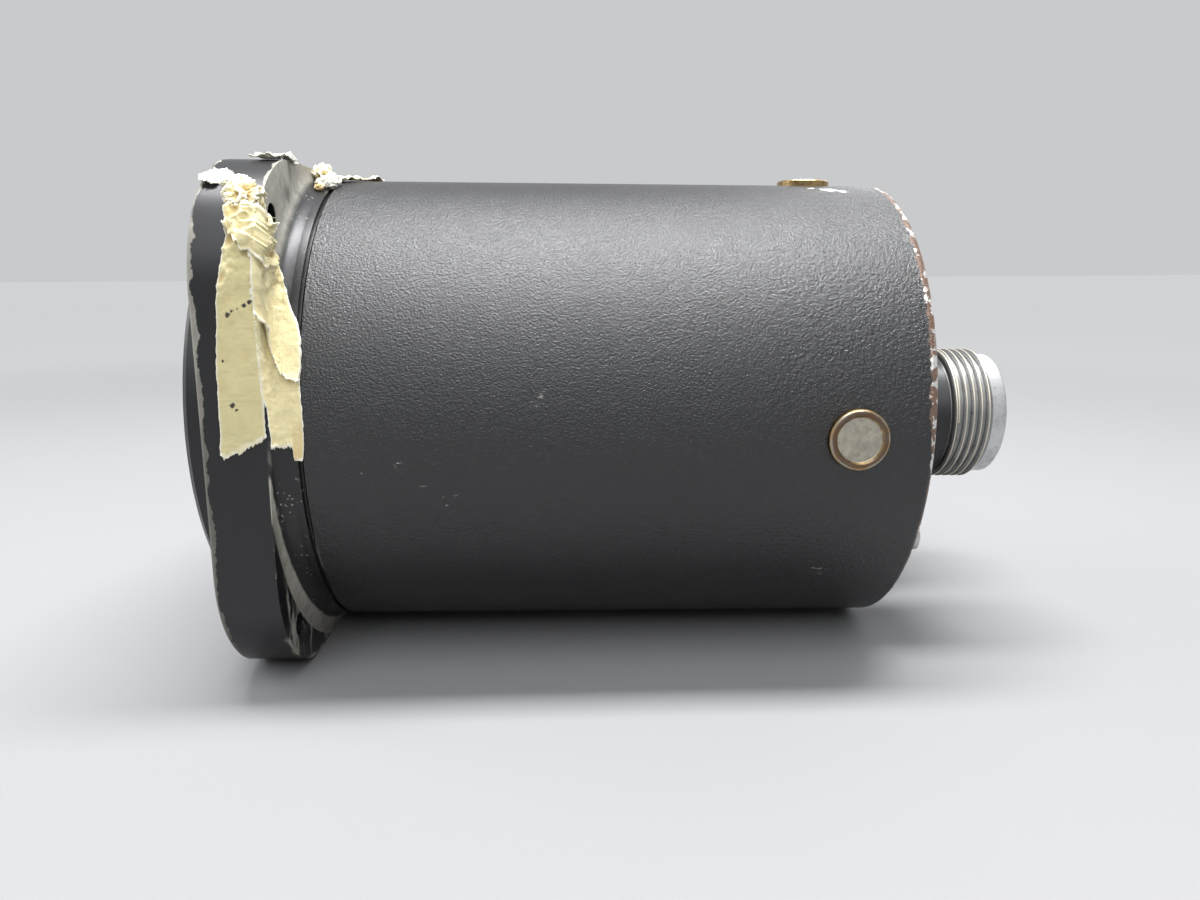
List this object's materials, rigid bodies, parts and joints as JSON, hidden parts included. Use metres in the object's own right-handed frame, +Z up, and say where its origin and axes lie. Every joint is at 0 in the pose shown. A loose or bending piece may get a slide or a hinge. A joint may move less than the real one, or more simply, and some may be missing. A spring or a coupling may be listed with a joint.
{
  "type": "dual tachometer",
  "caption": "Panel-mounted dual tachometer indicator: square flange, glazed dial with two concentric pointers, long black case and two threaded receptacles behind.",
  "frame": {"origin": "centre of the flange's front face, on the instrument's axis, where it lies against the panel", "axes": "-Y out of the dial, +Y towards the receptacles at the back, +Z up as the dial is read, +X to the reader's right"},
  "size_m": [0.0819, 0.128, 0.0826],
  "materials": {
    "case_enamel": "satin wrinkle enamel",
    "flange_enamel": "satin enamel, chipped at its edges",
    "cover_enamel": "satin enamel",
    "plated_steel": "nickel plated",
    "plug_metal": "tarnished nickel over brass",
    "shell_aluminium": "satin",
    "insert_plastic": "moulded",
    "contact_metal": "silver plated",
    "seal_rubber": "matt",
    "glass": "clear",
    "dial_paint": "matt black",
    "pointer_paint": "matt",
    "plate_metal": "brushed",
    "gear_brass": "machined",
    "shaft_steel": "ground",
    "spring_bronze": "rolled strip",
    "disc_aluminium": "rolled sheet",
    "magnet_iron": "cast",
    "motor_steel": "zinc plated",
    "winding": "enamelled wire",
    "lead_cover": "cloth-covered lead",
    "tape": "torn masking tape"
  },
  "bodies": {
    "case": {"front_flange": "flange_enamel", "case_tube": "case_enamel", "rear_cover": "cover_enamel", "rear_cover_gasket": "seal_rubber", "rear_cover_screws": "plated_steel", "seal_plugs": "plug_metal", "receptacle_pins": "contact_metal", "receptacle_gaskets": "seal_rubber", "receptacle_screws": "plated_steel", "cover_glass": "glass", "glass_gasket": "seal_rubber", "glass_retaining_ring": "plated_steel", "dial": "dial_paint", "dial_mask_ring": "dial_paint", "dial_screws": "plated_steel", "front_plate": "plate_metal", "middle_plate": "plate_metal", "motor_plate": "plate_metal", "rear_plate": "plate_metal", "pivot_bushes": "gear_brass", "front_pillars": "gear_brass", "middle_pillars": "gear_brass", "rear_pillars": "gear_brass", "frame_screws": "plated_steel", "movement_screws": "plated_steel", "hairspring_studs": "gear_brass", "stator_cores": "motor_steel", "stator_coils": "winding", "motor_bearings": "shaft_steel", "motor_leads": "lead_cover", "tape_remnants": "tape", "left_receptacle_shell": "shell_aluminium", "left_receptacle_insert": "insert_plastic", "left_hairspring": "spring_bronze", "left_motor_housing": "motor_steel", "right_receptacle_shell": "shell_aluminium", "right_receptacle_insert": "insert_plastic", "right_hairspring": "spring_bronze", "right_motor_housing": "motor_steel"},
    "inner_pointer": {"front_pointer": "pointer_paint", "inner_pointer_shaft": "shaft_steel", "inner_shaft_gear": "gear_brass"},
    "outer_pointer": {"rear_pointer": "pointer_paint", "outer_pointer_shaft": "shaft_steel", "outer_shaft_gear": "gear_brass"},
    "left_element": {"left_spindle": "shaft_steel", "left_spindle_gear": "gear_brass", "left_drag_disc": "disc_aluminium"},
    "left_rotor": {"left_rotor_shaft": "shaft_steel", "left_rotor_core": "magnet_iron", "left_magnet_carrier": "motor_steel", "left_magnets": "magnet_iron"},
    "right_element": {"right_spindle": "shaft_steel", "right_spindle_gear": "gear_brass", "right_drag_disc": "disc_aluminium"},
    "right_rotor": {"right_rotor_shaft": "shaft_steel", "right_rotor_core": "magnet_iron", "right_magnet_carrier": "motor_steel", "right_magnets": "magnet_iron"}
  },
  "joints": [
    {"name": "left_element_turn", "type": "hinge", "parent": "case", "child": "left_element", "pos_m": [-0.0175, 0.014, 0], "axis": [0, 1, 0], "range_deg": [-300, 0], "stiffness_Nm_per_rad": 0.0002},
    {"name": "right_element_turn", "type": "hinge", "parent": "case", "child": "right_element", "pos_m": [0.0175, 0.014, 0], "axis": [0, 1, 0], "range_deg": [-300, 0], "stiffness_Nm_per_rad": 0.0002},
    {"name": "outer_pointer_turn", "type": "hinge", "parent": "case", "child": "outer_pointer", "pos_m": [0, 0.009, 0], "axis": [0, 1, 0], "range_deg": [0, 300]},
    {"name": "inner_pointer_turn", "type": "hinge", "parent": "case", "child": "inner_pointer", "pos_m": [0, 0.009, 0], "axis": [0, 1, 0], "range_deg": [0, 300]},
    {"name": "left_rotor_spin", "type": "hinge", "parent": "case", "child": "left_rotor", "pos_m": [-0.0175, 0.05, 0], "axis": [0, 1, 0], "continuous": true},
    {"name": "right_rotor_spin", "type": "hinge", "parent": "case", "child": "right_rotor", "pos_m": [0.0175, 0.05, 0], "axis": [0, 1, 0], "continuous": true}
  ],
  "couplings": [
    {"joint": "outer_pointer_turn", "follows": "left_element_turn", "ratio": -1},
    {"joint": "inner_pointer_turn", "follows": "right_element_turn", "ratio": -1}
  ]
}
